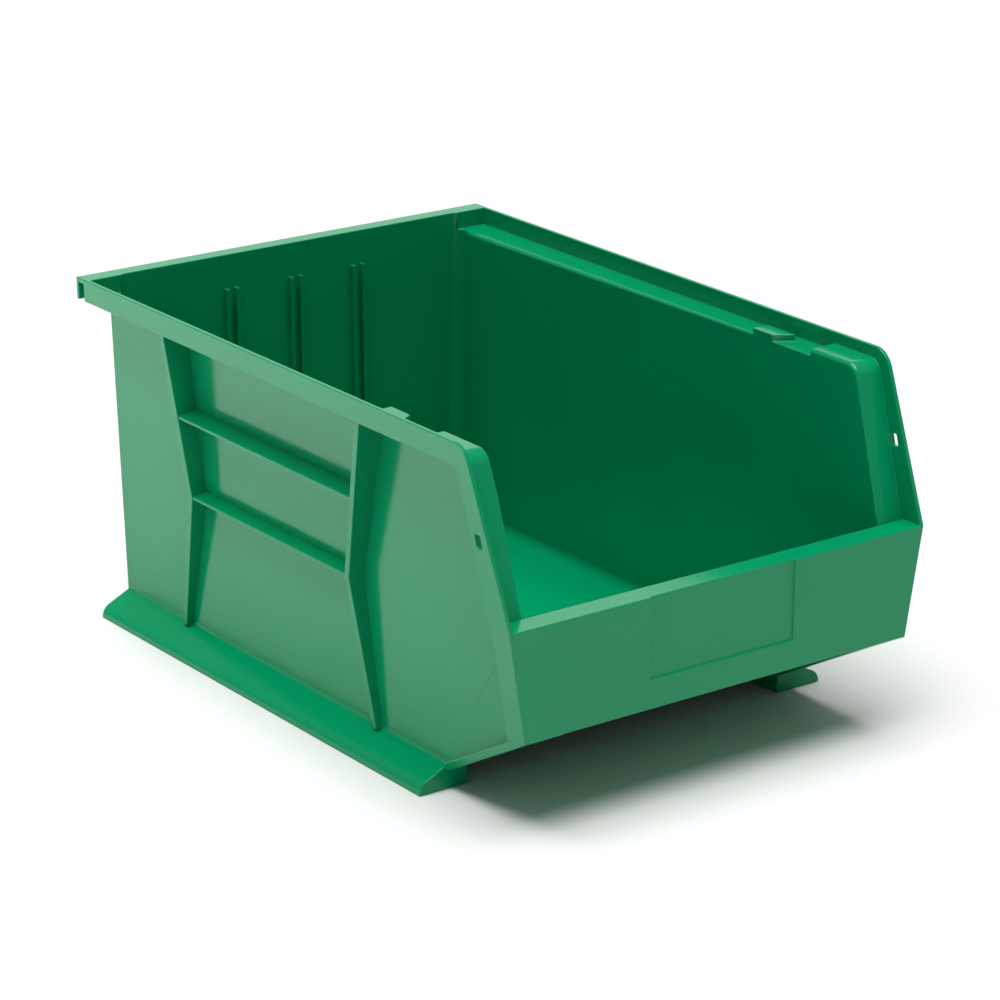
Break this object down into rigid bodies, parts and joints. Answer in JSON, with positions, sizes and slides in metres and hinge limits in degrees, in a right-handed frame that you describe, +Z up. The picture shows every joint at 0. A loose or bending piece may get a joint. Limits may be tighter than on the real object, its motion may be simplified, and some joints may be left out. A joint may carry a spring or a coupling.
{
  "type": "stackable storage bin",
  "caption": "Open-fronted plastic storage bin with kinked side ribs, grip shelves, a stacking ledge, base rails and a rear hanging lip.",
  "frame": {"origin": "middle of the footprint, on the surface the base rails stand on", "axes": "+Z up; the low open front faces -Y and the hanging lip +Y; +X is the right-hand side seen from the front"},
  "size_m": [0.2794, 0.4086, 0.2032],
  "materials": {
    "bin_plastic": "semi-gloss moulded polypropylene, emerald green"
  },
  "bodies": {
    "root": {"floor_panel": "bin_plastic", "front_ramp": "bin_plastic", "front_wall": "bin_plastic", "front_top_flange": "bin_plastic", "rear_wall": "bin_plastic", "rear_rim_band": "bin_plastic", "hanging_lip_top": "bin_plastic", "hanging_hook": "bin_plastic", "divider_rib_1a": "bin_plastic", "divider_rib_1b": "bin_plastic", "divider_rib_2a": "bin_plastic", "divider_rib_2b": "bin_plastic", "divider_rib_3a": "bin_plastic", "divider_rib_3b": "bin_plastic", "left_side_wall": "bin_plastic", "left_stacking_ledge": "bin_plastic", "left_stop_ledge": "bin_plastic", "left_stop_block": "bin_plastic", "left_front_stop": "bin_plastic", "left_front_web": "bin_plastic", "left_rim_flange": "bin_plastic", "left_front_edge_flange": "bin_plastic", "left_front_side_flange": "bin_plastic", "left_lower_edge_flange": "bin_plastic", "left_base_rail": "bin_plastic", "left_rear_rib_upper": "bin_plastic", "left_rear_rib_lower": "bin_plastic", "left_front_rib_upper": "bin_plastic", "left_front_rib_lower": "bin_plastic", "left_upper_shelf": "bin_plastic", "left_lower_shelf": "bin_plastic", "right_side_wall": "bin_plastic", "right_stacking_ledge": "bin_plastic", "right_stop_ledge": "bin_plastic", "right_stop_block": "bin_plastic", "right_front_stop": "bin_plastic", "right_front_web": "bin_plastic", "right_rim_flange": "bin_plastic", "right_front_edge_flange": "bin_plastic", "right_front_side_flange": "bin_plastic", "right_lower_edge_flange": "bin_plastic", "right_base_rail": "bin_plastic", "right_rear_rib_upper": "bin_plastic", "right_rear_rib_lower": "bin_plastic", "right_front_rib_upper": "bin_plastic", "right_front_rib_lower": "bin_plastic", "right_upper_shelf": "bin_plastic", "right_lower_shelf": "bin_plastic"}
  },
  "joints": []
}
